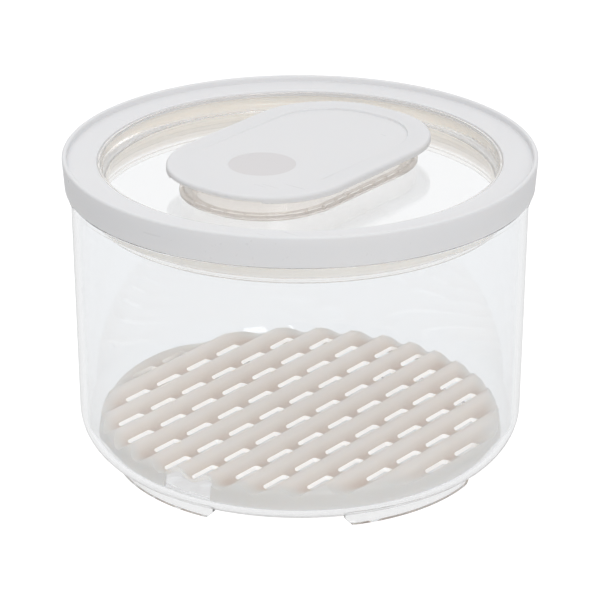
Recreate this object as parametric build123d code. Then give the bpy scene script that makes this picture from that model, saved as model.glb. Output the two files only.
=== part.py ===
from build123d import *
import math
import os

os.makedirs("parts", exist_ok=True)

# A round keeper for fresh food. A clear tub stands on four arc feet and holds a strainer tray.
# Its lid is a white ring round a clear sunk window, with a seal on the window's plug.
# A flip-up vent cover closes the collar in the middle of the window.
# Sizes are in millimetres. Z is up from the surface that the feet stand on, and X runs along
# the vent cover, with its hinge at the +X end.

# Tub
tub_base_radius = 106.4
tub_draft = 2.4
tub_height = 142.5
tub_wall = 3.0
tub_corner_radius = 21.0
bead_reach = 1.5
bead_height = 2.8
foot_count = 4
foot_height = 5.2
foot_inset = 15.4
foot_width = 3.4
foot_span_degrees = 46.0
foot_turn_degrees = -14.0
foot_end_slope = 3.5
foot_root = 1.8

# Strainer tray
tray_skirt_draft = 1.5
tray_height = 10.1
tray_wall = 1.8
tray_shoulder_radius = 5.0
ridge_pitch = 16.35
ridge_rise = 6.4
ridge_round = 4.5
slot_length = 17.0
slot_width = 4.0
slot_pitch = 23.6
slot_margin = 4.3
grip_width = 26.0
grip_depth = 5.6
grip_turn_degrees = -175.1

# Lid ring
ring_skirt_wall = 2.0
ring_skirt_depth = 9.7
ring_draft = 1.2
ring_top_thickness = 2.6
ring_flat_width = 14.2
lip_width = 2.4
lip_height = 3.0
lip_round = 1.1

# Window, a clear pan that drops through the ring and ends in the plug
window_wall = 2.4
window_recess = 8.5
window_lip_drop = 0.7
window_corner_radius = 4.0
plug_depth = 22.2
plug_wall = 2.2
plug_ledge_drop = 18.8
plug_ledge_reach = 1.8
plug_ledge_thickness = 1.5

# Lid seal, a sleeve round the plug with one lip that faces the tub's wall
seal_sleeve_wall = 1.5
seal_lip_drop = 4.2
seal_lip_root = 3.4
seal_lip_edge = 1.2

# Vent collar
collar_length = 130.0
collar_width = 76.0
collar_wall = 2.2
collar_height = 9.8
collar_foot_reach = 2.0
collar_foot_thickness = 1.2
collar_rim_reach = 1.5
collar_rim_thickness = 1.2
collar_spigot_inset = 3.2
collar_spigot_wall = 2.0
collar_spigot_drop = 2.0
collar_rib_count = 36
collar_rib_thickness = 0.9
collar_rib_height = 1.3

# Vent seal
vent_seal_height = 1.1
vent_seal_inset = 0.4

# Vent cover
cover_end_overhang = 5.5
cover_side_overhang = 8.0
cover_end_flat = 8.0
cover_top_thickness = 2.3
cover_skirt_drop = 1.0
cover_skirt_wall = 2.2
cover_edge_round = 1.5
dish_inset = 11.0
dish_depth = 1.1
dish_run = 88.0
thumb_mark_radius = 16.0
thumb_mark_depth = 0.3
thumb_mark_x = -29.0
lift_lip_width = 54.0

# Vent hinge
hinge_overhang = 1.9
hinge_drop = 4.5
knuckle_radius = 2.4
knuckle_length = 19.6
knuckle_web = 2.8
lug_length = 3.8
pin_radius = 1.0
pin_overrun = 0.5

# Clearances
seat_gap = 0.2
tray_seat_gap = 0.3
tray_side_gap = 5.4
ring_rim_gap = 0.5
ring_bead_gap = 0.6
window_ring_gap = 0.2
seal_wall_gap = 0.3
seal_sleeve_gap = 0.1
spigot_gap = 0.2
cover_seal_gap = 0.2
pin_running_gap = 0.06
lug_side_gap = 0.4

# Small edge rounds
fine_round = 0.3
soft_round = 0.6

# Levels and radii that follow from the sizes above
floor_z = foot_height + tub_wall
rim_z = foot_height + tub_height
tub_rim_radius = tub_base_radius + tub_draft
foot_radius = tub_base_radius - foot_inset
tray_skirt_radius = tub_base_radius - tub_wall - tray_side_gap
tub_slope = tub_draft / tub_height
ring_under_z = rim_z + seat_gap
ring_flat_z = ring_under_z + ring_top_thickness
ring_lip_z = ring_flat_z + lip_height
ring_skirt_z = ring_under_z - ring_skirt_depth
skirt_inner_radius = tub_rim_radius + ring_rim_gap
ring_low_radius = skirt_inner_radius + ring_skirt_wall
ring_radius = ring_low_radius + ring_draft
flat_outer_radius = ring_radius - lip_width
opening_radius = flat_outer_radius - ring_flat_width
window_top_radius = opening_radius - window_ring_gap
window_floor_z = ring_flat_z - window_recess
plug_radius = opening_radius + ring_top_thickness / 2
plug_bottom_z = ring_under_z - plug_depth
plug_ledge_z = ring_under_z - plug_ledge_drop
plug_ledge_radius = plug_radius + plug_ledge_reach
collar_top_z = window_floor_z + collar_height
cover_length = collar_length + 2 * cover_end_overhang
cover_width = collar_width + 2 * cover_side_overhang
cover_end_radius = (cover_width - cover_end_flat) / 2
cover_under_z = collar_top_z + vent_seal_height + cover_seal_gap
cover_top_z = cover_under_z + cover_top_thickness
cover_skirt_z = cover_under_z - cover_skirt_drop
hinge_x = cover_length / 2 - hinge_overhang
hinge_z = cover_under_z - hinge_drop


def tub_outside(z):
    """Outer radius of the tub's wall at height z."""
    return tub_base_radius + tub_slope * (z - foot_height)


def tub_inside(z):
    """Inner radius of the tub's wall at height z."""
    return tub_outside(z) - tub_wall


def section(corners):
    """Closed face in the XZ plane, from corners given as (radius, height, rounding)."""
    points = [(radius, height) for radius, height, rounding in corners]
    roundings = [rounding for radius, height, rounding in corners]
    outline = FilletPolyline(*points, radius=roundings, close=True)
    return Plane.XZ * make_face(outline)


def turned(corners):
    """Solid turned about Z from a section."""
    return revolve(section(corners), Axis.Z)


def oblong(length, width, bottom, top):
    """Upright block with half-round ends, from height bottom to height top."""
    outline = SlotOverall(length, width)
    return extrude(Plane.XY.offset(bottom) * outline, top - bottom)


def tub():
    bead_top = ring_skirt_z - ring_bead_gap
    bead_bottom = bead_top - bead_height
    bead_radius = tub_outside(bead_bottom) + bead_reach
    shell = turned([
        (0, foot_height, 0),
        (tub_base_radius, foot_height, tub_corner_radius),
        (tub_outside(bead_bottom), bead_bottom, fine_round),
        (bead_radius, bead_bottom, soft_round),
        (bead_radius, bead_top, soft_round),
        (tub_outside(bead_top), bead_top, fine_round),
        (tub_rim_radius, rim_z, soft_round),
        (tub_inside(rim_z), rim_z, soft_round),
        (tub_inside(floor_z), floor_z, tub_corner_radius - tub_wall),
        (0, floor_z, 0),
    ])
    for index in range(foot_count):
        turn = foot_turn_degrees + index * 360 / foot_count
        shell += Rot(0, 0, turn) * foot()
    return shell


def foot():
    """One arc foot, with its middle towards +X and its ends sloped outwards."""
    slope_angle = math.degrees(foot_end_slope / foot_radius)
    span = foot_span_degrees + 2 * slope_angle
    bar = Plane.XZ * Pos(foot_radius - foot_width / 2, (foot_height + foot_root) / 2) * Rectangle(
        foot_width, foot_height + foot_root
    )
    arc = Rot(0, 0, -span / 2) * revolve(bar, Axis.Z, revolution_arc=span)
    straight = arc.edges().filter_by(GeomType.LINE)
    ends = straight.filter_by_position(Axis.Z, -fine_round, fine_round)
    return chamfer(ends, foot_end_slope)


def tray_seat_z():
    """Height at which the skirt's lower edge meets the tub's rounded corner, less the gap."""
    corner_centre_radius = tub_inside(floor_z + tub_corner_radius) - (tub_corner_radius - tub_wall)
    corner_centre_z = foot_height + tub_corner_radius
    reach = tray_skirt_radius - corner_centre_radius
    drop = tub_corner_radius - tub_wall - tray_seat_gap
    return corner_centre_z - math.sqrt(drop**2 - reach**2)


def ridges(shift):
    """Block under the corrugated surface, moved down by shift, with its ridges along X."""
    half_pitch = ridge_pitch / 2
    half_count = math.ceil(tray_skirt_radius / half_pitch) + 1
    crest_cut = ridge_round * (math.hypot(half_pitch, ridge_rise) / half_pitch - 1)
    middle_z = tray_seat_z() + tray_height + crest_cut - ridge_rise / 2 - shift
    wave = []
    for step in range(-half_count, half_count + 1):
        side = 1 if step % 2 == 0 else -1
        wave.append((step * half_pitch, middle_z + side * ridge_rise / 2))
    low_z = middle_z - tub_height
    points = [*wave, (wave[-1][0], low_z), (wave[0][0], low_z)]
    roundings = [0] + [ridge_round] * (len(wave) - 2) + [0, 0, 0]
    outline = FilletPolyline(*points, radius=roundings, close=True)
    return extrude(Plane.YZ * make_face(outline), 2 * tray_skirt_radius, both=True)


def tray_slots():
    """Drain slots in every valley, as many as fit between the shoulders."""
    field_radius = tray_skirt_radius - tray_skirt_draft - slot_margin
    row_count = math.floor(field_radius / ridge_pitch + 0.5)
    slots = []
    for row in range(row_count):
        row_y = (row + 0.5) * ridge_pitch
        half_chord = math.sqrt(field_radius**2 - row_y**2)
        count = math.floor((2 * half_chord - slot_length) / slot_pitch) + 1
        for index in range(count):
            slot_x = (index - (count - 1) / 2) * slot_pitch
            for side in (-1, 1):
                slot = Pos(slot_x, side * row_y) * SlotOverall(slot_length, slot_width)
                slots.append(extrude(slot, tub_height))
    return slots


def strainer_tray():
    seat_z = tray_seat_z()
    top_z = seat_z + tray_height + fine_round
    top_radius = tray_skirt_radius - tray_skirt_draft
    outside = turned([
        (0, seat_z, 0),
        (tray_skirt_radius, seat_z, 0),
        (top_radius, top_z, tray_shoulder_radius),
        (0, top_z, 0),
    ])
    inside = turned([
        (0, seat_z - tray_wall, 0),
        (tray_skirt_radius - tray_wall, seat_z - tray_wall, 0),
        (top_radius - tray_wall, top_z - tray_wall, tray_shoulder_radius - tray_wall),
        (0, top_z - tray_wall, 0),
    ])
    body = (outside & ridges(0)) - (inside & ridges(tray_wall + fine_round))
    body -= tray_slots()
    grip = Pos(tray_skirt_radius - grip_depth + grip_width / 2, 0) * RectangleRounded(
        grip_width, grip_width, grip_depth / 2
    )
    return body - Rot(0, 0, grip_turn_degrees) * extrude(grip, tub_height)


def lid_ring():
    return turned([
        (opening_radius, ring_under_z, fine_round),
        (skirt_inner_radius, ring_under_z, soft_round),
        (skirt_inner_radius, ring_skirt_z, fine_round),
        (ring_low_radius, ring_skirt_z, soft_round),
        (ring_radius, ring_lip_z, lip_round),
        (flat_outer_radius, ring_lip_z, lip_round),
        (flat_outer_radius, ring_flat_z, soft_round),
        (opening_radius, ring_flat_z, soft_round),
    ])


def lid_window():
    inner_wall = window_top_radius - ring_top_thickness / 2
    pan = turned([
        (0, window_floor_z, 0),
        (inner_wall, window_floor_z, window_corner_radius),
        (inner_wall, ring_flat_z - window_lip_drop, fine_round),
        (window_top_radius, ring_flat_z - window_lip_drop, fine_round),
        (window_top_radius, ring_under_z, 0),
        (plug_radius, ring_under_z, fine_round),
        (plug_radius, plug_ledge_z, 0),
        (plug_ledge_radius, plug_ledge_z, fine_round),
        (plug_ledge_radius, plug_ledge_z - plug_ledge_thickness, soft_round),
        (plug_radius, plug_ledge_z - plug_ledge_thickness, soft_round),
        (plug_radius, plug_bottom_z, soft_round),
        (plug_radius - plug_wall, plug_bottom_z, soft_round),
        (plug_radius - plug_wall, window_floor_z - window_wall, soft_round),
        (0, window_floor_z - window_wall, 0),
    ])
    inset = 2 * collar_spigot_inset
    hole_bottom = window_floor_z - 2 * window_wall
    hole = oblong(collar_length - inset, collar_width - inset, hole_bottom, window_floor_z + window_wall)
    return pan - hole


def lid_seal():
    bottom = plug_ledge_z + seal_sleeve_gap
    top = ring_under_z - seal_sleeve_gap
    lip_z = ring_under_z - seal_lip_drop
    inner_radius = plug_radius + seal_sleeve_gap
    sleeve_radius = inner_radius + seal_sleeve_wall
    edge_radius = tub_inside(lip_z - seal_lip_edge / 2) - seal_wall_gap
    return turned([
        (inner_radius, bottom, 0),
        (sleeve_radius, bottom, fine_round),
        (sleeve_radius, lip_z - seal_lip_root / 2, fine_round),
        (edge_radius, lip_z - seal_lip_edge / 2, fine_round),
        (edge_radius, lip_z + seal_lip_edge / 2, fine_round),
        (sleeve_radius, lip_z + seal_lip_root / 2, fine_round),
        (sleeve_radius, top, fine_round),
        (inner_radius, top, 0),
    ])


def collar_ribs():
    """Short upright ribs on the collar's foot, evenly spaced round its outline."""
    rib_reach = collar_foot_reach / 2
    path = Plane.XY * SlotOverall(collar_length, collar_width).wire()
    rib_bottom = window_floor_z + collar_foot_thickness / 2
    rib_top = window_floor_z + collar_foot_thickness + collar_rib_height
    ribs = []
    for index in range(collar_rib_count):
        share = (index + 0.5) / collar_rib_count
        point = path @ share
        along = path % share
        turn = math.degrees(math.atan2(along.Y, along.X))
        rib = Rot(0, 0, turn) * Rectangle(collar_rib_thickness, 2 * rib_reach)
        rib = Pos(point.X, point.Y, rib_bottom) * rib
        ribs.append(extrude(rib, rib_top - rib_bottom))
    return ribs


def collar_lug(side):
    """Ear that carries one end of the hinge pin, on the side given by -1 or 1."""
    lug_y = side * (knuckle_length / 2 + lug_side_gap + lug_length / 2)
    eye = Pos(hinge_x, lug_y, hinge_z) * Rot(90, 0, 0) * Cylinder(knuckle_radius, lug_length)
    web_start = collar_length / 2 - 2 * collar_wall
    web_length = hinge_x - web_start
    web = Pos(web_start + web_length / 2, lug_y, hinge_z) * Box(web_length, lug_length, 2 * knuckle_radius)
    return eye + web


def vent_collar():
    reach = 2 * collar_foot_reach
    rim_reach = 2 * collar_rim_reach
    wall = 2 * collar_wall
    inset = 2 * (collar_spigot_inset + spigot_gap)
    spigot_wall = 2 * collar_spigot_wall
    foot_top = window_floor_z + collar_foot_thickness
    spigot_bottom = window_floor_z - window_wall - collar_spigot_drop
    frame = oblong(collar_length + reach, collar_width + reach, window_floor_z, foot_top)
    frame += oblong(collar_length, collar_width, window_floor_z, collar_top_z)
    frame += oblong(
        collar_length + rim_reach, collar_width + rim_reach, collar_top_z - collar_rim_thickness, collar_top_z
    )
    frame += collar_ribs()
    frame += [collar_lug(-1), collar_lug(1)]
    frame -= oblong(collar_length - wall, collar_width - wall, foot_top, collar_top_z + collar_wall)
    frame += oblong(collar_length - inset, collar_width - inset, spigot_bottom, foot_top)
    throat_length = collar_length - inset - spigot_wall
    throat_width = collar_width - inset - spigot_wall
    frame -= oblong(throat_length, throat_width, spigot_bottom, foot_top)
    bore = Pos(hinge_x, 0, hinge_z) * Rot(90, 0, 0) * Cylinder(pin_radius, cover_width)
    return frame - bore


def vent_seal():
    outer_reach = 2 * (collar_rim_reach - vent_seal_inset)
    wall = 2 * (collar_wall - vent_seal_inset)
    top = collar_top_z + vent_seal_height
    band = oblong(collar_length + outer_reach, collar_width + outer_reach, collar_top_z, top)
    band = fillet(band.edges().group_by(Axis.Z)[-1], fine_round)
    return band - oblong(collar_length - wall, collar_width - wall, collar_top_z, top)


def rounded_block(inset, bottom, top):
    """Upright block with the cover's outline, drawn in by inset."""
    outline = RectangleRounded(
        cover_length - 2 * inset, cover_width - 2 * inset, cover_end_radius - inset
    )
    return extrude(Plane.XY.offset(bottom) * outline, top - bottom)


def dish():
    """Sloped hollow in the cover's top, deepest at the hinge end and level with the top at the other."""
    deep_x = cover_length / 2 - dish_inset
    over_z = cover_top_z + dish_depth
    outline = Polyline(
        (deep_x, cover_top_z - dish_depth),
        (deep_x, over_z),
        (deep_x - dish_run, over_z),
        (deep_x - dish_run, cover_top_z),
        close=True,
    )
    wedge = extrude(Plane.XZ * make_face(outline), cover_width, both=True)
    return rounded_block(dish_inset, cover_top_z - 2 * dish_depth, over_z) & wedge


def vent_cover():
    plate = rounded_block(0, cover_skirt_z, cover_top_z)
    plate = fillet(plate.edges().group_by(Axis.Z)[-1], cover_edge_round)
    plate -= rounded_block(cover_skirt_wall, cover_skirt_z, cover_under_z)
    plate -= dish()
    mark_z = cover_top_z - thumb_mark_depth
    plate -= Pos(thumb_mark_x, 0, mark_z + tub_wall) * Cylinder(thumb_mark_radius, 2 * tub_wall)
    lift_depth = cover_length / 2 - cover_end_radius / 2
    plate -= Pos(-cover_length / 2, 0, cover_skirt_z) * Box(lift_depth, lift_lip_width, 2 * cover_skirt_drop)
    knuckle = Pos(hinge_x, 0, hinge_z) * Rot(90, 0, 0) * Cylinder(knuckle_radius, knuckle_length)
    web_height = hinge_drop + cover_top_thickness / 4
    knuckle += Pos(hinge_x, 0, hinge_z + web_height / 2) * Box(knuckle_web, knuckle_length, web_height)
    bore = Pos(hinge_x, 0, hinge_z) * Rot(90, 0, 0) * Cylinder(pin_radius + pin_running_gap, cover_width)
    return plate + knuckle - bore


def hinge_pin():
    length = knuckle_length + 2 * (lug_side_gap + lug_length + pin_overrun)
    pin = Pos(hinge_x, 0, hinge_z) * Rot(90, 0, 0) * Cylinder(pin_radius, length)
    return chamfer(pin.edges().filter_by(GeomType.CIRCLE), fine_round / 2)


nodes = {
    "tub": tub,
    "strainer_tray": strainer_tray,
    "lid_ring": lid_ring,
    "lid_window": lid_window,
    "lid_seal": lid_seal,
    "vent_collar": vent_collar,
    "vent_seal": vent_seal,
    "vent_cover": vent_cover,
    "hinge_pin": hinge_pin,
}

for name, make in nodes.items():
    export_step(make(), f"parts/{name}.step")
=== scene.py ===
import bmesh
import bpy
import math
from mathutils import Matrix, Vector


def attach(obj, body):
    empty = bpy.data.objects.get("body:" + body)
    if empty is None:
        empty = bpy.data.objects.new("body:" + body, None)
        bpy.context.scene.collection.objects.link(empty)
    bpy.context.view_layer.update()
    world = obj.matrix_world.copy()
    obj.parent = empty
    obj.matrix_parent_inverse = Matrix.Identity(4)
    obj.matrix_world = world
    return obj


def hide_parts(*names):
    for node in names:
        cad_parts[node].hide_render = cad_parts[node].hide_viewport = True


# A round keeper for fresh food: a clear tub, a milky strainer tray, and a lid with a white ring,
# a clear sunk window and a flip-up vent cover. Pieces are drawn in millimetres and made in metres.

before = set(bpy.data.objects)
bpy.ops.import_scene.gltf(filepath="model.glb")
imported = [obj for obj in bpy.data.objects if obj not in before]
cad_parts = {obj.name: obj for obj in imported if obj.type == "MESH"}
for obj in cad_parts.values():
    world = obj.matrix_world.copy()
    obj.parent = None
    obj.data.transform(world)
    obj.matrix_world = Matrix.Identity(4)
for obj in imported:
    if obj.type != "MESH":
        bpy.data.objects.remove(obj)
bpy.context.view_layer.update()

MM = 0.001
TURN_STEPS = 288
FINE_TURN_STEPS = 576
OBLONG_STEPS = 144
OBLONG_HALF_STEP = math.pi / OBLONG_STEPS
MERGE_DISTANCE = 2e-6
SHARP_ANGLE = math.radians(40)
FINE_ROUND, SOFT_ROUND = 0.3, 0.6


# Mesh helpers

def outline(bm, corners, closed, segments):
    """Wire in the XZ plane through corners given as (radius, height, rounding), rounded by bevels."""
    places = [Vector((radius, 0, height)) * MM for radius, height, rounding in corners]
    points = [bm.verts.new(place) for place in places]
    runs = list(zip(points, points[1:]))
    if closed:
        runs.append((points[-1], points[0]))
    for run in runs:
        bm.edges.new(run)
    for index, (point, corner) in enumerate(zip(points, corners)):
        if not corner[2]:
            continue
        back = places[index - 1] - places[index]
        ahead = places[(index + 1) % len(places)] - places[index]
        offset = corner[2] * MM / math.tan(back.angle(ahead) / 2)
        bmesh.ops.bevel(
            bm, geom=[point], offset=offset, offset_type="OFFSET", segments=segments,
            profile=0.5, affect="VERTICES", material=-1,
        )


def spin_round(bm, steps, first_angle=0.0):
    """Spins everything in bm once round Z from first_angle, and closes its seam and poles."""
    turn = Matrix.Rotation(first_angle, 3, "Z")
    bmesh.ops.rotate(bm, cent=(0, 0, 0), matrix=turn, verts=bm.verts)
    bmesh.ops.spin(
        bm, geom=bm.verts[:] + bm.edges[:], cent=(0, 0, 0), axis=(0, 0, 1), angle=math.tau,
        steps=steps, use_merge=True, use_duplicate=False,
    )
    bmesh.ops.remove_doubles(bm, verts=bm.verts, dist=MERGE_DISTANCE)
    bmesh.ops.dissolve_degenerate(bm, edges=bm.edges, dist=MERGE_DISTANCE)


def turned(corners, steps=TURN_STEPS, segments=5, closed=True, first_angle=0.0):
    """Shape spun round Z from corners given as outline takes them."""
    bm = bmesh.new()
    outline(bm, corners, closed, segments)
    spin_round(bm, steps, first_angle)
    return bm


def stretch(bm, reach_x, reach_y):
    """Moves the quarters of a turned shape apart, which makes it an oblong."""
    for vert in bm.verts:
        vert.co.x += math.copysign(reach_x * MM, vert.co.x)
        vert.co.y += math.copysign(reach_y * MM, vert.co.y)


def oblong(corners, reach, segments=4, closed=True, reach_across=0.0):
    """Spun shape whose ends are moved apart along X by reach each way, and along Y by reach_across."""
    bm = turned(corners, OBLONG_STEPS, segments, closed, OBLONG_HALF_STEP)
    stretch(bm, reach, reach_across)
    return bm


def open_loops(bm):
    """The open edges of bm, as one list of edges for each height, from the lowest up."""
    loops = {}
    for edge in bm.edges:
        if edge.is_boundary:
            height = round((edge.verts[0].co.z + edge.verts[1].co.z) / 2, 5)
            loops.setdefault(height, []).append(edge)
    return [loops[height] for height in sorted(loops)]


def join(bm, other):
    """Adds the mesh of other to bm and frees other."""
    mesh = bpy.data.meshes.new("joined")
    other.to_mesh(mesh)
    other.free()
    bm.from_mesh(mesh)
    bpy.data.meshes.remove(mesh)


def block(low, high, rounding=0.2, segments=2):
    """Box between two corners in millimetres, with its edges rounded."""
    bm = bmesh.new()
    low, high = Vector(low), Vector(high)
    size = (high - low) * MM
    place = Matrix.Translation((high + low) / 2 * MM) @ Matrix.Diagonal((*size, 1))
    bmesh.ops.create_cube(bm, size=1, matrix=place)
    bmesh.ops.bevel(
        bm, geom=bm.edges, offset=rounding * MM, offset_type="OFFSET", segments=segments,
        profile=0.5, affect="EDGES", material=-1,
    )
    return bm


def finish_piece(bm, name, material, body, slot, *nodes):
    """Makes bm an object that rides on a body and stands for the named CAD nodes."""
    bmesh.ops.recalc_face_normals(bm, faces=bm.faces)
    mesh = bpy.data.meshes.new(name)
    bm.to_mesh(mesh)
    bm.free()
    mesh.shade_smooth()
    mesh.set_sharp_from_angle(angle=SHARP_ANGLE)
    mesh.materials.append(material)
    piece = bpy.data.objects.new(name, mesh)
    bpy.context.scene.collection.objects.link(piece)
    even = piece.modifiers.new("even shading", "WEIGHTED_NORMAL")
    even.keep_sharp = True
    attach(piece, body)
    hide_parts(*nodes)


# Materials

def new_material(name):
    """Empty Principled material, with its node tree and its shader node."""
    material = bpy.data.materials.new(name)
    material.use_nodes = True
    tree = material.node_tree
    return material, tree, tree.nodes["Principled BSDF"]


def group_sockets(tree, inputs, outputs):
    """Gives a node group its named inputs and outputs, and returns the nodes that hold them."""
    for name, kind, value in inputs:
        socket = tree.interface.new_socket(name, in_out="INPUT", socket_type=kind)
        if value is not None:
            socket.default_value = value
    for name, kind in outputs:
        tree.interface.new_socket(name, in_out="OUTPUT", socket_type=kind)
    return tree.nodes.new("NodeGroupInput"), tree.nodes.new("NodeGroupOutput")


def math_node(tree, operation, first, second, clamp=False):
    node = tree.nodes.new("ShaderNodeMath")
    node.operation = operation
    node.use_clamp = clamp
    for socket, value in zip(node.inputs, (first, second)):
        if isinstance(value, (int, float)):
            socket.default_value = value
        else:
            tree.links.new(value, socket)
    return node.outputs[0]


def noise_node(tree, place, scale, detail=3.0, roughness=0.5):
    node = tree.nodes.new("ShaderNodeTexNoise")
    node.inputs["Detail"].default_value = detail
    node.inputs["Roughness"].default_value = roughness
    tree.links.new(place, node.inputs["Vector"])
    if isinstance(scale, (int, float)):
        node.inputs["Scale"].default_value = scale
    else:
        tree.links.new(scale, node.inputs["Scale"])
    return node.outputs["Fac"]


def range_node(tree, value, low, high, to_low, to_high):
    node = tree.nodes.new("ShaderNodeMapRange")
    tree.links.new(value, node.inputs["Value"])
    for name, bound in (("From Min", low), ("From Max", high), ("To Min", to_low), ("To Max", to_high)):
        if isinstance(bound, (int, float)):
            node.inputs[name].default_value = bound
        else:
            tree.links.new(bound, node.inputs[name])
    return node.outputs["Result"]


def moulded_surface_group():
    """Moulded plastic: fine spark grain, slow flow waves and a roughness that drifts with both."""
    tree = bpy.data.node_groups.new("moulded surface", "ShaderNodeTree")
    given, out = group_sockets(
        tree,
        [
            ("Vector", "NodeSocketVector", None),
            ("Grain Scale", "NodeSocketFloat", 2500.0),
            ("Roughness", "NodeSocketFloat", 0.4),
            ("Roughness Drift", "NodeSocketFloat", 0.1),
        ],
        [("Height", "NodeSocketFloat"), ("Roughness", "NodeSocketFloat"), ("Mottle", "NodeSocketFloat")],
    )
    grain = noise_node(tree, given.outputs["Vector"], given.outputs["Grain Scale"], 2.0, 0.6)
    flow = noise_node(tree, given.outputs["Vector"], 22.0, 2.0, 0.4)
    wave = math_node(tree, "MULTIPLY", flow, 0.35)
    height = math_node(tree, "ADD", grain, wave)
    drift = math_node(tree, "SUBTRACT", flow, 0.5)
    drift = math_node(tree, "MULTIPLY", drift, given.outputs["Roughness Drift"])
    rough = math_node(tree, "ADD", drift, given.outputs["Roughness"], clamp=True)
    tree.links.new(height, out.inputs["Height"])
    tree.links.new(rough, out.inputs["Roughness"])
    tree.links.new(flow, out.inputs["Mottle"])
    return tree


def wipe_marks_group():
    """Hairline wipe marks: long thin ridges of two stretched waves, kept to a few patches."""
    tree = bpy.data.node_groups.new("wipe marks", "ShaderNodeTree")
    given, out = group_sockets(
        tree,
        [("Vector", "NodeSocketVector", None), ("Amount", "NodeSocketFloat", 0.3)],
        [("Mask", "NodeSocketFloat")],
    )
    masks = []
    for turn, scale in ((0.5, 900.0), (-0.7, 1300.0)):
        place = tree.nodes.new("ShaderNodeMapping")
        place.inputs["Rotation"].default_value = (turn, turn / 2, turn)
        place.inputs["Scale"].default_value = (1.0, 0.02, 0.3)
        tree.links.new(given.outputs["Vector"], place.inputs["Vector"])
        lines = noise_node(tree, place.outputs["Vector"], scale, 1.0, 0.5)
        masks.append(range_node(tree, lines, 0.68, 0.78, 0.0, 1.0))
    both = math_node(tree, "MAXIMUM", masks[0], masks[1])
    patches = noise_node(tree, given.outputs["Vector"], 18.0, 2.0, 0.5)
    patches = range_node(tree, patches, 0.45, 0.7, 0.0, 1.0)
    mask = math_node(tree, "MULTIPLY", both, patches)
    mask = math_node(tree, "MULTIPLY", mask, given.outputs["Amount"], clamp=True)
    tree.links.new(mask, out.inputs["Mask"])
    return tree


# VALLEY_Z and CREST_Z bound the tray's painted valley shade: full at the valley floor, none at the crests.
VALLEY_Z, CREST_Z = 17.6, 23.3
RIDGES_END, SKIRT_START = 89.5, 95.5
MARK_X, MARK_RADIUS = -29.0, 16.0
MARK_EDGE = 0.5
LOWEST_ROUGHNESS = 0.18
PLASTIC_IOR, CLEAR_IOR, SILICONE_IOR = 1.49, 1.5, 1.41
MOULDED = moulded_surface_group()
WIPED = wipe_marks_group()


def use_group(tree, group, **values):
    """Places a node group that reads Object coordinates."""
    node = tree.nodes.new("ShaderNodeGroup")
    node.node_tree = group
    place = tree.nodes.new("ShaderNodeTexCoord")
    tree.links.new(place.outputs["Object"], node.inputs["Vector"])
    for name, value in values.items():
        node.inputs[name.replace("_", " ").title()].default_value = value
    return node


def add_bump(tree, shader, height, strength, distance):
    bump = tree.nodes.new("ShaderNodeBump")
    bump.inputs["Strength"].default_value = strength
    bump.inputs["Distance"].default_value = distance
    tree.links.new(height, bump.inputs["Height"])
    tree.links.new(bump.outputs["Normal"], shader.inputs["Normal"])


def mix_colours(tree, factor, first, second):
    node = tree.nodes.new("ShaderNodeMix")
    node.data_type = "RGBA"
    tree.links.new(factor, node.inputs["Factor"])
    for socket, value in ((node.inputs[6], first), (node.inputs[7], second)):
        if isinstance(value, tuple):
            socket.default_value = (*value, 1)
        else:
            tree.links.new(value, socket)
    return node.outputs[2]


def distance_from(tree, x, y):
    """How far a point stands from an upright line at x and y in metres, in Object coordinates."""
    source = tree.nodes.new("ShaderNodeTexCoord")
    split = tree.nodes.new("ShaderNodeSeparateXYZ")
    tree.links.new(source.outputs["Object"], split.inputs["Vector"])
    across = math_node(tree, "SUBTRACT", split.outputs["X"], x)
    along = math_node(tree, "SUBTRACT", split.outputs["Y"], y)
    across = math_node(tree, "MULTIPLY", across, across)
    along = math_node(tree, "MULTIPLY", along, along)
    return math_node(tree, "SQRT", math_node(tree, "ADD", across, along), 0.0)


def white_plastic(name, colour, warm, roughness, mark=None):
    """Satin moulded plastic: fine grain, drifting gloss, faint wipe marks and maybe a round mark."""
    material, tree, shader = new_material(name)
    surface = use_group(tree, MOULDED, grain_scale=2600.0, roughness=roughness, roughness_drift=0.12)
    marks = use_group(tree, WIPED, amount=0.35)
    tone = mix_colours(tree, surface.outputs["Mottle"], colour, warm)
    if mark:
        inside = distance_from(tree, MARK_X * MM, 0.0)
        edge = MARK_RADIUS + 0.1
        inside = range_node(tree, inside, (edge - MARK_EDGE) * MM, edge * MM, 1.0, 0.0)
        tone = mix_colours(tree, inside, tone, mark)
    tree.links.new(tone, shader.inputs["Base Color"])
    rough = math_node(tree, "SUBTRACT", surface.outputs["Roughness"], marks.outputs["Mask"], clamp=True)
    rough = math_node(tree, "MAXIMUM", rough, LOWEST_ROUGHNESS)
    tree.links.new(rough, shader.inputs["Roughness"])
    add_bump(tree, shader, surface.outputs["Height"], 0.25, 0.00006)
    shader.inputs["IOR"].default_value = PLASTIC_IOR
    shader.inputs["Subsurface Weight"].default_value = 0.35
    shader.inputs["Subsurface Radius"].default_value = (1.0, 0.92, 0.86)
    shader.inputs["Subsurface Scale"].default_value = 0.004
    return material


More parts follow.
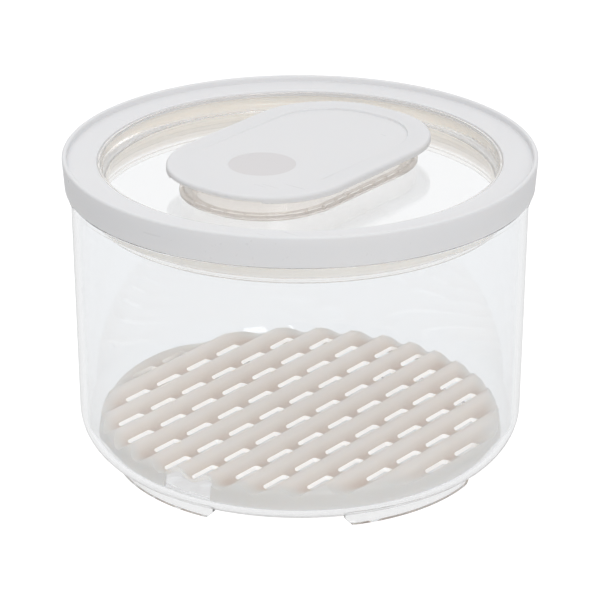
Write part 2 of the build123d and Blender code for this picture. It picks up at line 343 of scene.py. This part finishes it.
def clear_plastic(name, tint, roughness, shade, clearness=1.0, wall=None):
    """Clear moulded plastic: it bends light, and lamps pass it with a light shade. A wall, given
    as (radius in millimetres, tint, roughness), is duller than what lies inside that radius."""
    material, tree, shader = new_material(name)
    surface = use_group(tree, MOULDED, grain_scale=900.0, roughness=roughness, roughness_drift=0.03)
    marks = use_group(tree, WIPED, amount=0.08)
    rough = math_node(tree, "ADD", surface.outputs["Roughness"], marks.outputs["Mask"], clamp=True)
    shader.inputs["Base Color"].default_value = (*tint, 1)
    if wall:
        radius, wall_tint, wall_roughness = wall
        outside = range_node(tree, distance_from(tree, 0.0, 0.0), (radius - 0.5) * MM, radius * MM, 0.0, 1.0)
        tree.links.new(mix_colours(tree, outside, tint, wall_tint), shader.inputs["Base Color"])
        rough = math_node(tree, "MAXIMUM", rough, math_node(tree, "MULTIPLY", outside, wall_roughness))
    tree.links.new(rough, shader.inputs["Roughness"])
    add_bump(tree, shader, surface.outputs["Mottle"], 0.08, 0.0004)
    shader.inputs["Transmission Weight"].default_value = clearness
    shader.inputs["IOR"].default_value = CLEAR_IOR
    passing = tree.nodes.new("ShaderNodeBsdfTransparent")
    passing.inputs["Color"].default_value = (*shade, 1)
    path = tree.nodes.new("ShaderNodeLightPath")
    soft = math_node(tree, "MAXIMUM", path.outputs["Is Shadow Ray"], path.outputs["Is Diffuse Ray"])
    mix = tree.nodes.new("ShaderNodeMixShader")
    tree.links.new(soft, mix.inputs["Fac"])
    tree.links.new(shader.outputs["BSDF"], mix.inputs[1])
    tree.links.new(passing.outputs["BSDF"], mix.inputs[2])
    tree.links.new(mix.outputs["Shader"], tree.nodes["Material Output"].inputs["Surface"])
    return material


def milky_plastic(name, colour, deep, skirt, painted_glow):
    """Milky strainer plastic. Painted shade darkens and warms the deck towards its valleys, and the upright
    slot walls get a painted glow: a brighter colour that also emits light.
    """
    material, tree, shader = new_material(name)
    surface = use_group(tree, MOULDED, grain_scale=1800.0, roughness=0.42, roughness_drift=0.12)
    source = tree.nodes.new("ShaderNodeTexCoord")
    split = tree.nodes.new("ShaderNodeSeparateXYZ")
    tree.links.new(source.outputs["Object"], split.inputs["Vector"])
    # Painted shade: a factor that rises from the crests down to the valley floor, broken up by the mottle.
    height = range_node(tree, split.outputs["Z"], VALLEY_Z * MM, CREST_Z * MM, 1.0, 0.0)
    valley_shade = math_node(tree, "POWER", height, 1.6)
    shade_mottle = math_node(tree, "MULTIPLY", surface.outputs["Mottle"], 0.3)
    valley_shade = math_node(tree, "ADD", valley_shade, math_node(tree, "SUBTRACT", shade_mottle, 0.15), clamp=True)
    rim = range_node(tree, distance_from(tree, 0.0, 0.0), RIDGES_END * MM, SKIRT_START * MM, 0.0, 1.0)
    tone = mix_colours(tree, valley_shade, colour, deep)
    # Painted light: the upright slot walls, away from the skirt, take a brighter colour.
    facing = tree.nodes.new("ShaderNodeSeparateXYZ")
    tree.links.new(source.outputs["Normal"], facing.inputs["Vector"])
    upright = math_node(tree, "ABSOLUTE", facing.outputs["Z"], 0.0)
    cut = range_node(tree, upright, 0.1, 0.4, 1.0, 0.0)
    cut = math_node(tree, "MULTIPLY", cut, math_node(tree, "SUBTRACT", 1.0, rim))
    tone = mix_colours(tree, cut, tone, painted_glow)
    # The skirt keeps its own colour, outside the painted shade and the painted glow.
    tone = mix_colours(tree, rim, tone, skirt)
    tree.links.new(tone, shader.inputs["Base Color"])
    # Painted glow: the slot walls emit that brighter colour, though the tray is no lamp.
    painted_slot_glow = mix_colours(tree, cut, (0.0, 0.0, 0.0), painted_glow)
    tree.links.new(painted_slot_glow, shader.inputs["Emission Color"])
    shader.inputs["Emission Strength"].default_value = 0.3
    tree.links.new(surface.outputs["Roughness"], shader.inputs["Roughness"])
    add_bump(tree, shader, surface.outputs["Height"], 0.2, 0.00006)
    shader.inputs["IOR"].default_value = PLASTIC_IOR
    shader.inputs["Subsurface Weight"].default_value = 0.5
    shader.inputs["Subsurface Radius"].default_value = (1.0, 0.84, 0.7)
    shader.inputs["Subsurface Scale"].default_value = 0.004
    return material


def silicone(name, colour, deep, painted_glow=0.0):
    """Soft seal: a smooth translucent rubber that carries some light through its body by subsurface
    scattering, and can have a painted glow: its own colour emitted, though it is no lamp.
    """
    material, tree, shader = new_material(name)
    surface = use_group(tree, MOULDED, grain_scale=1200.0, roughness=0.38, roughness_drift=0.2)
    tone = mix_colours(tree, surface.outputs["Mottle"], colour, deep)
    tree.links.new(tone, shader.inputs["Base Color"])
    tree.links.new(surface.outputs["Roughness"], shader.inputs["Roughness"])
    add_bump(tree, shader, surface.outputs["Height"], 0.15, 0.00008)
    shader.inputs["IOR"].default_value = SILICONE_IOR
    # Painted glow: the seal's colour is emitted at the given strength, standing in for light passing through
    # the rubber.
    tree.links.new(tone, shader.inputs["Emission Color"])
    shader.inputs["Emission Strength"].default_value = painted_glow
    shader.inputs["Subsurface Weight"].default_value = 0.9
    shader.inputs["Subsurface Radius"].default_value = (1.0, 0.9, 0.8)
    shader.inputs["Subsurface Scale"].default_value = 0.005
    return material


def drawn_steel(name):
    """Drawn wire: fine rings along the pin's length, with a soft polish."""
    material, tree, shader = new_material(name)
    surface = use_group(tree, MOULDED, grain_scale=4000.0, roughness=0.25, roughness_drift=0.1)
    place = tree.nodes.new("ShaderNodeMapping")
    place.inputs["Scale"].default_value = (0.05, 1.0, 0.05)
    source = tree.nodes.new("ShaderNodeTexCoord")
    tree.links.new(source.outputs["Object"], place.inputs["Vector"])
    rings = noise_node(tree, place.outputs["Vector"], 3000.0, 2.0, 0.6)
    tone = mix_colours(tree, rings, (0.6, 0.6, 0.62), (0.78, 0.78, 0.79))
    tree.links.new(tone, shader.inputs["Base Color"])
    tree.links.new(surface.outputs["Roughness"], shader.inputs["Roughness"])
    add_bump(tree, shader, rings, 0.3, 0.00004)
    shader.inputs["Metallic"].default_value = 1.0
    return material


tub_clear = clear_plastic("tub_clear", (0.925, 0.935, 0.945), 0.02, (0.97, 0.972, 0.974))
window_clear = clear_plastic(
    "window_clear", (0.98, 0.98, 0.978), 0.02, (0.97, 0.972, 0.974), wall=(93.6, (1.0, 0.985, 0.965), 0.15)
)
collar_clear = clear_plastic("collar_clear", (0.96, 0.925, 0.89), 0.12, (0.97, 0.97, 0.965), 0.75)
lid_white = white_plastic("lid_white", (0.8, 0.805, 0.82), (0.82, 0.82, 0.825), 0.42)
cover_white = white_plastic(
    "cover_white", (0.775, 0.78, 0.795), (0.795, 0.795, 0.8), 0.45, mark=(0.71, 0.695, 0.7)
)
# Tray colours: the deck, the painted valley shade, the skirt, and the painted glow of the slot walls.
tray_milky = milky_plastic(
    "tray_milky", (0.94, 0.865, 0.805), (0.5, 0.385, 0.315), (0.82, 0.795, 0.76), (0.97, 0.94, 0.91)
)
# The lid seal has a faint painted glow.
seal_silicone = silicone("seal_silicone", (0.93, 0.885, 0.82), (0.9, 0.845, 0.775), 0.15)
vent_seal_silicone = silicone("vent_seal_silicone", (0.86, 0.8, 0.74), (0.82, 0.75, 0.68))
pin_steel = drawn_steel("pin_steel")


# Tub

TUB_BASE = 106.4
TUB_RIM = 108.8
TUB_WALL = 3.0
FOOT_HEIGHT = 5.2
RIM_Z = 147.7
FLOOR_Z = FOOT_HEIGHT + TUB_WALL
BEAD_LOW, BEAD_TOP = 134.8, 137.6
BEAD_REACH = 1.5
CORNER = 21.0
FOOT_INNER, FOOT_OUTER = 87.6, 91.0
FOOT_MIDDLE = math.radians(-14)
FOOT_HALF_SPAN = math.radians(25)
FOOT_SLOPE_Z = 3.5
FOOT_SLOPE = math.radians(2.2)
FOOT_EDGE_ROUND = 0.35


def tub_radius(z):
    return TUB_BASE + (TUB_RIM - TUB_BASE) * (z - FOOT_HEIGHT) / (RIM_Z - FOOT_HEIGHT)


def foot_angle(place, number):
    """Angle from the middle of one of the four feet, between half a turn each way."""
    angle = math.atan2(place.y, place.x) - FOOT_MIDDLE - number * math.tau / 4
    return (angle + math.pi) % math.tau - math.pi


def lower_foot(bm, number):
    """Draws one arc foot down out of the tub's underside, with sloped ends."""
    floor = []
    for face in bm.faces:
        centre = face.calc_center_median()
        in_band = FOOT_INNER * MM < centre.xy.length < FOOT_OUTER * MM
        if in_band and centre.z < (FOOT_HEIGHT + 1) * MM and abs(foot_angle(centre, number)) < FOOT_HALF_SPAN:
            floor.append(face)
    for level in (FOOT_SLOPE_Z, 0.0):
        grown = bmesh.ops.extrude_face_region(bm, geom=floor)["geom"]
        bmesh.ops.delete(bm, geom=floor, context="FACES")
        floor = [part for part in grown if isinstance(part, bmesh.types.BMFace)]
        for vert in [part for part in grown if isinstance(part, bmesh.types.BMVert)]:
            vert.co.z = level * MM
            if level == 0.0:
                angle = foot_angle(vert.co, number)
                back = -angle * FOOT_SLOPE / FOOT_HALF_SPAN
                vert.co = Matrix.Rotation(back, 3, "Z") @ vert.co


def tub():
    bead = tub_radius(BEAD_LOW) + BEAD_REACH
    bm = bmesh.new()
    outline(bm, [
        (0, FOOT_HEIGHT, 0),
        (TUB_BASE, FOOT_HEIGHT, CORNER),
        (tub_radius(BEAD_LOW), BEAD_LOW, FINE_ROUND),
        (bead, BEAD_LOW, SOFT_ROUND),
        (bead, BEAD_TOP, SOFT_ROUND),
        (tub_radius(BEAD_TOP), BEAD_TOP, FINE_ROUND),
        (TUB_RIM, RIM_Z, SOFT_ROUND),
        (TUB_RIM - TUB_WALL, RIM_Z, SOFT_ROUND),
        (tub_radius(FLOOR_Z) - TUB_WALL, FLOOR_Z, CORNER - TUB_WALL),
        (0, FLOOR_Z, 0),
    ], closed=False, segments=20)
    for radius in (FOOT_INNER, FOOT_OUTER):
        bmesh.ops.bisect_plane(
            bm, geom=bm.verts[:] + bm.edges[:], plane_co=(radius * MM, 0, 0), plane_no=(1, 0, 0)
        )
    spin_round(bm, TURN_STEPS, FOOT_MIDDLE - FOOT_HALF_SPAN)
    for number in range(4):
        lower_foot(bm, number)
    corners = [
        edge for edge in bm.edges
        if max(vert.co.z for vert in edge.verts) < (FOOT_HEIGHT - 0.3) * MM
        and len(edge.link_faces) == 2 and edge.calc_face_angle() > SHARP_ANGLE
    ]
    bmesh.ops.bevel(
        bm, geom=corners, offset=FOOT_EDGE_ROUND * MM, offset_type="OFFSET", segments=6,
        profile=0.5, affect="EDGES", material=-1,
    )
    return bm


finish_piece(tub(), "clear_tub", tub_clear, "tub", "tub_clear", "tub")


# Lid ring

RING_UNDER_Z = 147.9
RING_FLAT_Z = 150.5
RING_LIP_Z = 153.5
RING_SKIRT_Z = 138.2
RING_RADIUS = 112.5
RING_LOW_RADIUS = 111.3
RING_OPENING = 95.9
SKIRT_INSIDE = 109.3
LIP_INSIDE = 110.1
LIP_ROUND = 1.1

finish_piece(turned([
    (RING_OPENING, RING_UNDER_Z, FINE_ROUND),
    (SKIRT_INSIDE, RING_UNDER_Z, SOFT_ROUND),
    (SKIRT_INSIDE, RING_SKIRT_Z, FINE_ROUND),
    (RING_LOW_RADIUS, RING_SKIRT_Z, SOFT_ROUND),
    (RING_RADIUS, RING_LIP_Z, LIP_ROUND),
    (LIP_INSIDE, RING_LIP_Z, LIP_ROUND),
    (LIP_INSIDE, RING_FLAT_Z, SOFT_ROUND),
    (RING_OPENING, RING_FLAT_Z, SOFT_ROUND),
]), "white_lid_ring", lid_white, "lid", "lid_white", "lid_ring")


# Window: the spun pan and plug, then its floor round the vent's hole

WINDOW_FLOOR_Z = 142.0
WINDOW_WALL = 2.4
WINDOW_TOP_Z = 149.8
WINDOW_INSIDE, WINDOW_OUTSIDE = 94.4, 95.7
WINDOW_CORNER = 4.0
PLUG_RADIUS = 97.2
PLUG_INSIDE = 95.0
PLUG_Z = 125.7
LEDGE_RADIUS = 99.0
LEDGE_LOW, LEDGE_TOP = 127.6, 129.1
HOLE_RADIUS = 34.8
VENT_REACH = 27.0
PAN_JOIN = 72.0


def grow_loop(bm, loop, place):
    """Extrudes a loop of edges once and puts each new vertex where place says."""
    grown = bmesh.ops.extrude_edge_only(bm, edges=loop)["geom"]
    for part in grown:
        if isinstance(part, bmesh.types.BMVert):
            part.co = place(part.co)
    return [part for part in grown if isinstance(part, bmesh.types.BMEdge)]


def to_hole(z):
    """Puts a vertex of the pan's floor on the rim of the vent's hole, at height z."""
    def place(co):
        spot = co.xy.normalized() * HOLE_RADIUS * MM
        return Vector((spot.x + math.copysign(VENT_REACH * MM, spot.x), spot.y, z * MM))
    return place


def window():
    under = WINDOW_FLOOR_Z - WINDOW_WALL
    bm = turned([
        (PAN_JOIN, WINDOW_FLOOR_Z, 0),
        (WINDOW_INSIDE, WINDOW_FLOOR_Z, WINDOW_CORNER),
        (WINDOW_INSIDE, WINDOW_TOP_Z, FINE_ROUND),
        (WINDOW_OUTSIDE, WINDOW_TOP_Z, FINE_ROUND),
        (WINDOW_OUTSIDE, RING_UNDER_Z, 0),
        (PLUG_RADIUS, RING_UNDER_Z, FINE_ROUND),
        (PLUG_RADIUS, LEDGE_TOP, 0),
        (LEDGE_RADIUS, LEDGE_TOP, FINE_ROUND),
        (LEDGE_RADIUS, LEDGE_LOW, SOFT_ROUND),
        (PLUG_RADIUS, LEDGE_LOW, SOFT_ROUND),
        (PLUG_RADIUS, PLUG_Z, SOFT_ROUND),
        (PLUG_INSIDE, PLUG_Z, SOFT_ROUND),
        (PLUG_INSIDE, under, SOFT_ROUND),
        (PAN_JOIN, under, 0),
    ], steps=FINE_TURN_STEPS, segments=6, closed=False, first_angle=math.pi / FINE_TURN_STEPS)
    low, top = open_loops(bm)
    grow_loop(bm, low, to_hole(under))
    hole = grow_loop(bm, top, to_hole(WINDOW_FLOOR_Z))
    grow_loop(bm, hole, lambda co: Vector((co.x, co.y, under * MM)))
    bmesh.ops.remove_doubles(bm, verts=bm.verts, dist=MERGE_DISTANCE)
    return bm


finish_piece(window(), "clear_window", window_clear, "lid", "window_clear", "lid_window")


# Lid seal

SEAL_GAP = 0.1
SEAL_WALL = 1.5
SEAL_LOW, SEAL_TOP = LEDGE_TOP + SEAL_GAP, RING_UNDER_Z - SEAL_GAP
SEAL_INSIDE = PLUG_RADIUS + SEAL_GAP
SEAL_OUTSIDE = SEAL_INSIDE + SEAL_WALL
SEAL_LIP_RADIUS = 105.42
SEAL_LIP_Z = RING_UNDER_Z - 4.2
SEAL_LIP_ROOT_HALF, SEAL_LIP_EDGE_HALF = 1.7, 0.6

finish_piece(turned([
    (SEAL_INSIDE, SEAL_LOW, 0),
    (SEAL_OUTSIDE, SEAL_LOW, FINE_ROUND),
    (SEAL_OUTSIDE, SEAL_LIP_Z - SEAL_LIP_ROOT_HALF, FINE_ROUND),
    (SEAL_LIP_RADIUS, SEAL_LIP_Z - SEAL_LIP_EDGE_HALF, FINE_ROUND),
    (SEAL_LIP_RADIUS, SEAL_LIP_Z + SEAL_LIP_EDGE_HALF, FINE_ROUND),
    (SEAL_OUTSIDE, SEAL_LIP_Z + SEAL_LIP_ROOT_HALF, FINE_ROUND),
    (SEAL_OUTSIDE, SEAL_TOP, FINE_ROUND),
    (SEAL_INSIDE, SEAL_TOP, 0),
]), "soft_lid_seal", seal_silicone, "lid", "seal_silicone", "lid_seal")


# Vent collar with its ribs and hinge ears

COLLAR_RADIUS, COLLAR_INSIDE = 38.0, 35.8
COLLAR_TOP_Z = 151.8
COLLAR_AIR = 0.03
COLLAR_FOOT_Z = WINDOW_FLOOR_Z + COLLAR_AIR
COLLAR_FOOT_RADIUS, COLLAR_FOOT_TOP_Z = 40.0, 143.2
COLLAR_RIM_RADIUS, COLLAR_RIM_Z = 39.5, 150.6
SPIGOT_RADIUS, SPIGOT_INSIDE, SPIGOT_Z = 34.6, 32.6, 137.6
RIB_COUNT = 36
RIB_HALF_WIDTH, RIB_HALF_DEPTH = 0.45, 1.0
RIB_LOW, RIB_TOP = WINDOW_FLOOR_Z + 0.6, WINDOW_FLOOR_Z + 2.5
HINGE_X, HINGE_Z = 68.6, 148.6
KNUCKLE_RADIUS = 2.4
PIN_RADIUS = 1.0
KNUCKLE_HALF = 9.8
EAR_START, EAR_END = 10.2, 14.0
EAR_ROOT_X = 60.6
PIN_STEPS = 48
BURIED = 0.1


def tube(inner, outer, start, end, rounding=0.2):
    """Tube along Y round the hinge's line."""
    bm = bmesh.new()
    length = end - start
    corners = [(inner, 0, 0), (outer, 0, rounding), (outer, length, rounding), (inner, length, 0)]
    outline(bm, corners, closed=True, segments=2)
    spin_round(bm, PIN_STEPS)
    turn = Matrix.Translation(Vector((HINGE_X, start, HINGE_Z)) * MM) @ Matrix.Rotation(-math.pi / 2, 4, "X")
    bmesh.ops.transform(bm, matrix=turn, verts=bm.verts)
    return bm


def collar_rib(number):
    """One short upright rib on the collar's foot, evenly spaced round its outline."""
    bend = math.pi * COLLAR_RADIUS
    side = 2 * VENT_REACH
    along = (number + 0.5) / RIB_COUNT * 2 * (bend + side)
    half, along = divmod(along, bend + side)
    if along < side:
        x, y, turn = VENT_REACH - along, COLLAR_RADIUS, 0.0
    else:
        turn = (along - side) / COLLAR_RADIUS
        x, y = -VENT_REACH - math.sin(turn) * COLLAR_RADIUS, math.cos(turn) * COLLAR_RADIUS
    corner = Vector((RIB_HALF_WIDTH, RIB_HALF_DEPTH, 0))
    bm = block(Vector((0, 0, RIB_LOW)) - corner, Vector((0, 0, RIB_TOP)) + corner, rounding=0.15)
    place = Matrix.Translation((x * MM, y * MM, 0)) @ Matrix.Rotation(turn, 4, "Z")
    bmesh.ops.transform(bm, matrix=Matrix.Rotation(half * math.pi, 4, "Z") @ place, verts=bm.verts)
    return bm


def collar():
    bm = oblong([
        (COLLAR_FOOT_RADIUS, COLLAR_FOOT_Z, 0),
        (COLLAR_FOOT_RADIUS, COLLAR_FOOT_TOP_Z, FINE_ROUND),
        (COLLAR_RADIUS, COLLAR_FOOT_TOP_Z, FINE_ROUND),
        (COLLAR_RADIUS, COLLAR_RIM_Z, FINE_ROUND),
        (COLLAR_RIM_RADIUS, COLLAR_RIM_Z, FINE_ROUND),
        (COLLAR_RIM_RADIUS, COLLAR_TOP_Z, FINE_ROUND),
        (COLLAR_INSIDE, COLLAR_TOP_Z, 0.2),
        (COLLAR_INSIDE, COLLAR_FOOT_TOP_Z, 0.4),
        (SPIGOT_INSIDE, COLLAR_FOOT_TOP_Z, FINE_ROUND),
        (SPIGOT_INSIDE, SPIGOT_Z, FINE_ROUND),
        (SPIGOT_RADIUS, SPIGOT_Z, FINE_ROUND),
        (SPIGOT_RADIUS, COLLAR_FOOT_Z, 0),
    ], VENT_REACH, segments=3)
    for number in range(RIB_COUNT):
        join(bm, collar_rib(number))
    for side in (-1, 1):
        start, end = sorted((side * EAR_START, side * EAR_END))
        join(bm, tube(PIN_RADIUS, KNUCKLE_RADIUS, start, end))
        low = (EAR_ROOT_X, start + BURIED, HINGE_Z - KNUCKLE_RADIUS + BURIED)
        high = (HINGE_X - PIN_RADIUS - 0.2, end - BURIED, HINGE_Z + KNUCKLE_RADIUS - BURIED)
        join(bm, block(low, high))
    return bm


finish_piece(collar(), "clear_vent_collar", collar_clear, "lid", "collar_clear", "vent_collar")


# Vent seal

VENT_SEAL_INSIDE, VENT_SEAL_RADIUS = 36.2, 39.1
VENT_SEAL_Z = 152.9

finish_piece(oblong([
    (VENT_SEAL_INSIDE, COLLAR_TOP_Z, 0),
    (VENT_SEAL_RADIUS, COLLAR_TOP_Z, 0),
    (VENT_SEAL_RADIUS, VENT_SEAL_Z, FINE_ROUND),
    (VENT_SEAL_INSIDE, VENT_SEAL_Z, FINE_ROUND),
], VENT_REACH), "soft_vent_seal", vent_seal_silicone, "lid", "vent_seal_silicone", "vent_seal")


# Vent cover

COVER_TOP_Z = 155.4
COVER_UNDER_Z = 153.1
COVER_SKIRT_Z = 152.1
COVER_RADIUS = 42.0
COVER_REACH = (28.5, 4.0)
COVER_ROUND = 1.5
SKIRT_RADIUS = 39.8
UNDER_START = 20.0
DISH_RADIUS = 31.0
DISH_START = -28.5
DISH_RUN = 88.0
DISH_DEPTH = 1.1
MARK_DEPTH = 0.3
LIP_HALF = 27.0
LIP_STEP_HALF = 0.1
LIP_X = -45.75
LIP_SKIRT_LEFT = 0.05
KNUCKLE_GAP = 0.06
WEB_HALF = 1.4
WEB_LOW = 0.4


def dish_z(x):
    """Height of the dish's floor at x, which slopes down towards the hinge."""
    run = max(0.0, x / MM - DISH_START)
    return COVER_TOP_Z - DISH_DEPTH * run / DISH_RUN


def on_dish_wall(radius, share):
    """Puts a vertex of the cover's top on the dish's wall, at a share of the dish's own depth."""
    def place(co):
        reach_x, reach_y = COVER_REACH
        centre = Vector((math.copysign(reach_x, co.x), math.copysign(reach_y, co.y))) * MM
        spot = (co.xy - centre).normalized() * radius * MM + centre
        z = COVER_TOP_Z - (COVER_TOP_Z - dish_z(spot.x)) * share
        return Vector((spot.x, spot.y, z * MM))
    return place


def on_mark_wall(radius, drop):
    """Puts a vertex of the round mark's edge at a radius, no higher than drop under the cover's top."""
    def place(co):
        centre = Vector((MARK_X, 0)) * MM
        spot = (co.xy - centre).normalized() * radius * MM + centre
        return Vector((spot.x, spot.y, min(dish_z(spot.x), COVER_TOP_Z - drop) * MM))
    return place


def cover_plate():
    bm = oblong([
        (UNDER_START, COVER_UNDER_Z, 0),
        (SKIRT_RADIUS, COVER_UNDER_Z, FINE_ROUND),
        (SKIRT_RADIUS, COVER_SKIRT_Z, FINE_ROUND),
        (COVER_RADIUS, COVER_SKIRT_Z, FINE_ROUND),
        (COVER_RADIUS, COVER_TOP_Z, COVER_ROUND),
        (DISH_RADIUS + FINE_ROUND, COVER_TOP_Z, 0),
    ], COVER_REACH[0], segments=6, closed=False, reach_across=COVER_REACH[1])
    low, top = open_loops(bm)
    bmesh.ops.holes_fill(bm, edges=low, sides=0)
    for inset, share in ((0.0, 0.15), (0.3, 0.85), (0.6, 1.0)):
        top = grow_loop(bm, top, on_dish_wall(DISH_RADIUS - inset, share))
    centre = Matrix.Translation((MARK_X * MM, 0, COVER_TOP_Z * MM))
    mark = bmesh.ops.create_circle(
        bm, cap_ends=False, radius=(MARK_RADIUS + 0.2) * MM, segments=OBLONG_STEPS,
        matrix=centre @ Matrix.Rotation(OBLONG_HALF_STEP, 4, "Z"),
    )["verts"]
    for vert in mark:
        vert.co.z = dish_z(vert.co.x) * MM
    ring = list({edge for vert in mark for edge in vert.link_edges})
    bmesh.ops.bridge_loops(bm, edges=top + ring)
    for inset, drop in ((0.0, 0.08), (0.25, MARK_DEPTH - 0.05), (0.5, MARK_DEPTH)):
        ring = grow_loop(bm, ring, on_mark_wall(MARK_RADIUS - inset, drop))
    bmesh.ops.holes_fill(bm, edges=ring, sides=0)
    return bm


def lift_lip(bm):
    """Raises the skirt's edge over the finger lip at the -X end, with a step at each side."""
    steps = [side * LIP_HALF + shift for side in (-1, 1) for shift in (-LIP_STEP_HALF, LIP_STEP_HALF)]
    for y in steps:
        bmesh.ops.bisect_plane(
            bm, geom=bm.verts[:] + bm.edges[:] + bm.faces[:], plane_co=(0, y * MM, 0), plane_no=(0, 1, 0)
        )
    for vert in bm.verts:
        over_lip = vert.co.x < LIP_X * MM and abs(vert.co.y) < LIP_HALF * MM
        if over_lip and vert.co.z < COVER_UNDER_Z * MM:
            vert.co.z = COVER_UNDER_Z * MM + (vert.co.z - COVER_UNDER_Z * MM) * LIP_SKIRT_LEFT


def cover():
    bm = cover_plate()
    lift_lip(bm)
    join(bm, tube(PIN_RADIUS + KNUCKLE_GAP, KNUCKLE_RADIUS, -KNUCKLE_HALF, KNUCKLE_HALF))
    low = (HINGE_X - WEB_HALF, -KNUCKLE_HALF + BURIED, HINGE_Z + PIN_RADIUS + WEB_LOW)
    high = (HINGE_X + WEB_HALF, KNUCKLE_HALF - BURIED, COVER_UNDER_Z + WEB_LOW)
    join(bm, block(low, high))
    return bm


finish_piece(cover(), "white_vent_cover", cover_white, "cover", "cover_white", "vent_cover")


# Pieces that keep their CAD shape

for node, material in (("strainer_tray", tray_milky), ("hinge_pin", pin_steel)):
    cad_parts[node].data.materials.clear()
    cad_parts[node].data.materials.append(material)


# Floor, light and camera

# The floor and the world are brighter to the camera and to rays that have passed clear plastic
# than to light that bounces, which keeps the ground white and the clear walls pale.
FLOOR_SIDE_HALF = 6.0
FLOOR_DROP = 0.0002
SEEN_GLOW = 0.94
FLOOR_GLOW, FLOOR_THROUGH_GLOW = 0.47, 0.8
WORLD_THROUGH_GLOW = 0.55
WORLD_STOPS = ((0.0, 0.36), (0.25, 0.4), (0.6, 0.66), (1.0, 0.84))
BACKDROP_WAY = (0.74, 0.57, 0.36)
BACKDROP_GLOW = 0.45
LIGHT_AIM = (0, 0, 0.1)
CAMERA_PLACE = (-1.1709, -0.9017, 0.6902)
CAMERA_AIM = (0, 0, 0.0771)
CAMERA_LENS = 199.56


def stage_floor():
    bm = bmesh.new()
    bmesh.ops.create_grid(bm, x_segments=1, y_segments=1, size=FLOOR_SIDE_HALF)
    mesh = bpy.data.meshes.new("floor")
    bm.to_mesh(mesh)
    bm.free()
    floor = bpy.data.objects.new("floor", mesh)
    floor.location.z = -FLOOR_DROP
    bpy.context.scene.collection.objects.link(floor)
    material, tree, shader = new_material("pale_floor")
    shader.inputs["Base Color"].default_value = (0.25, 0.25, 0.25, 1)
    shader.inputs["Roughness"].default_value = 0.9
    shader.inputs["Specular IOR Level"].default_value = 0.1
    shader.inputs["Emission Color"].default_value = (1, 1, 1, 1)
    path = tree.nodes.new("ShaderNodeLightPath")
    seen = range_node(tree, path.outputs["Is Camera Ray"], 0.0, 1.0, FLOOR_GLOW, SEEN_GLOW)
    through = range_node(tree, path.outputs["Is Transmission Ray"], 0.0, 1.0, 0.0, FLOOR_THROUGH_GLOW)
    glow = math_node(tree, "MAXIMUM", seen, through)
    tree.links.new(glow, shader.inputs["Emission Strength"])
    mesh.materials.append(material)


def studio_world():
    """World that lightens towards its top, with a soft glow on the side that BACKDROP_WAY points to."""
    world = bpy.data.worlds.new("studio")
    world.use_nodes = True
    bpy.context.scene.world = world
    tree = world.node_tree
    background = tree.nodes["Background"]
    source = tree.nodes.new("ShaderNodeTexCoord")
    split = tree.nodes.new("ShaderNodeSeparateXYZ")
    tree.links.new(source.outputs["Generated"], split.inputs["Vector"])
    ramp = tree.nodes.new("ShaderNodeValToRGB")
    tree.links.new(split.outputs["Z"], ramp.inputs["Fac"])
    while len(ramp.color_ramp.elements) < len(WORLD_STOPS):
        ramp.color_ramp.elements.new(0.5)
    for element, (place, level) in zip(ramp.color_ramp.elements, WORLD_STOPS):
        element.position = place
        element.color = (level, level, level * 1.01, 1)
    facing = tree.nodes.new("ShaderNodeVectorMath")
    facing.operation = "DOT_PRODUCT"
    facing.inputs[1].default_value = BACKDROP_WAY
    tree.links.new(source.outputs["Generated"], facing.inputs[0])
    backdrop = range_node(tree, facing.outputs["Value"], 0.6, 0.95, 0.0, BACKDROP_GLOW)
    path = tree.nodes.new("ShaderNodeLightPath")
    seen = range_node(tree, path.outputs["Is Camera Ray"], 0.0, 1.0, 0.0, SEEN_GLOW)
    through = range_node(tree, path.outputs["Is Transmission Ray"], 0.0, 1.0, 0.0, WORLD_THROUGH_GLOW)
    lifted = tree.nodes.new("ShaderNodeVectorMath")
    lifted.operation = "MAXIMUM"
    tree.links.new(ramp.outputs["Color"], lifted.inputs[0])
    tree.links.new(math_node(tree, "MAXIMUM", seen, through), lifted.inputs[1])
    glow = tree.nodes.new("ShaderNodeVectorMath")
    tree.links.new(lifted.outputs["Vector"], glow.inputs[0])
    tree.links.new(backdrop, glow.inputs[1])
    tree.links.new(glow.outputs["Vector"], background.inputs["Color"])
    background.inputs["Strength"].default_value = 1.0


def aimed(name, data, place, aim):
    """Object at a place in metres that looks at another."""
    thing = bpy.data.objects.new(name, data)
    thing.location = place
    thing.rotation_euler = (Vector(aim) - Vector(place)).to_track_quat("-Z", "Y").to_euler()
    bpy.context.scene.collection.objects.link(thing)
    return thing


def soft_light(name, place, side, power):
    """Square soft light of a side in metres and a power in watts."""
    data = bpy.data.lights.new(name, "AREA")
    data.shape = "SQUARE"
    data.size = side
    data.energy = power
    aimed(name, data, place, LIGHT_AIM)


def place_camera():
    data = bpy.data.cameras.new("camera")
    data.sensor_width = 36.0
    data.lens = CAMERA_LENS
    bpy.context.scene.camera = aimed("camera", data, CAMERA_PLACE, CAMERA_AIM)


stage_floor()
studio_world()
soft_light("overhead", place=(-0.2, 0.3, 1.6), side=1.6, power=3.8)
soft_light("front", place=(-1.3, -1.9, 1.1), side=1.2, power=14)
place_camera()
scene = bpy.context.scene
scene.view_settings.view_transform = "Standard"
scene.cycles.max_bounces = 64
scene.cycles.diffuse_bounces = 6
scene.cycles.glossy_bounces = 64
scene.cycles.transmission_bounces = 64
scene.cycles.transparent_max_bounces = 48
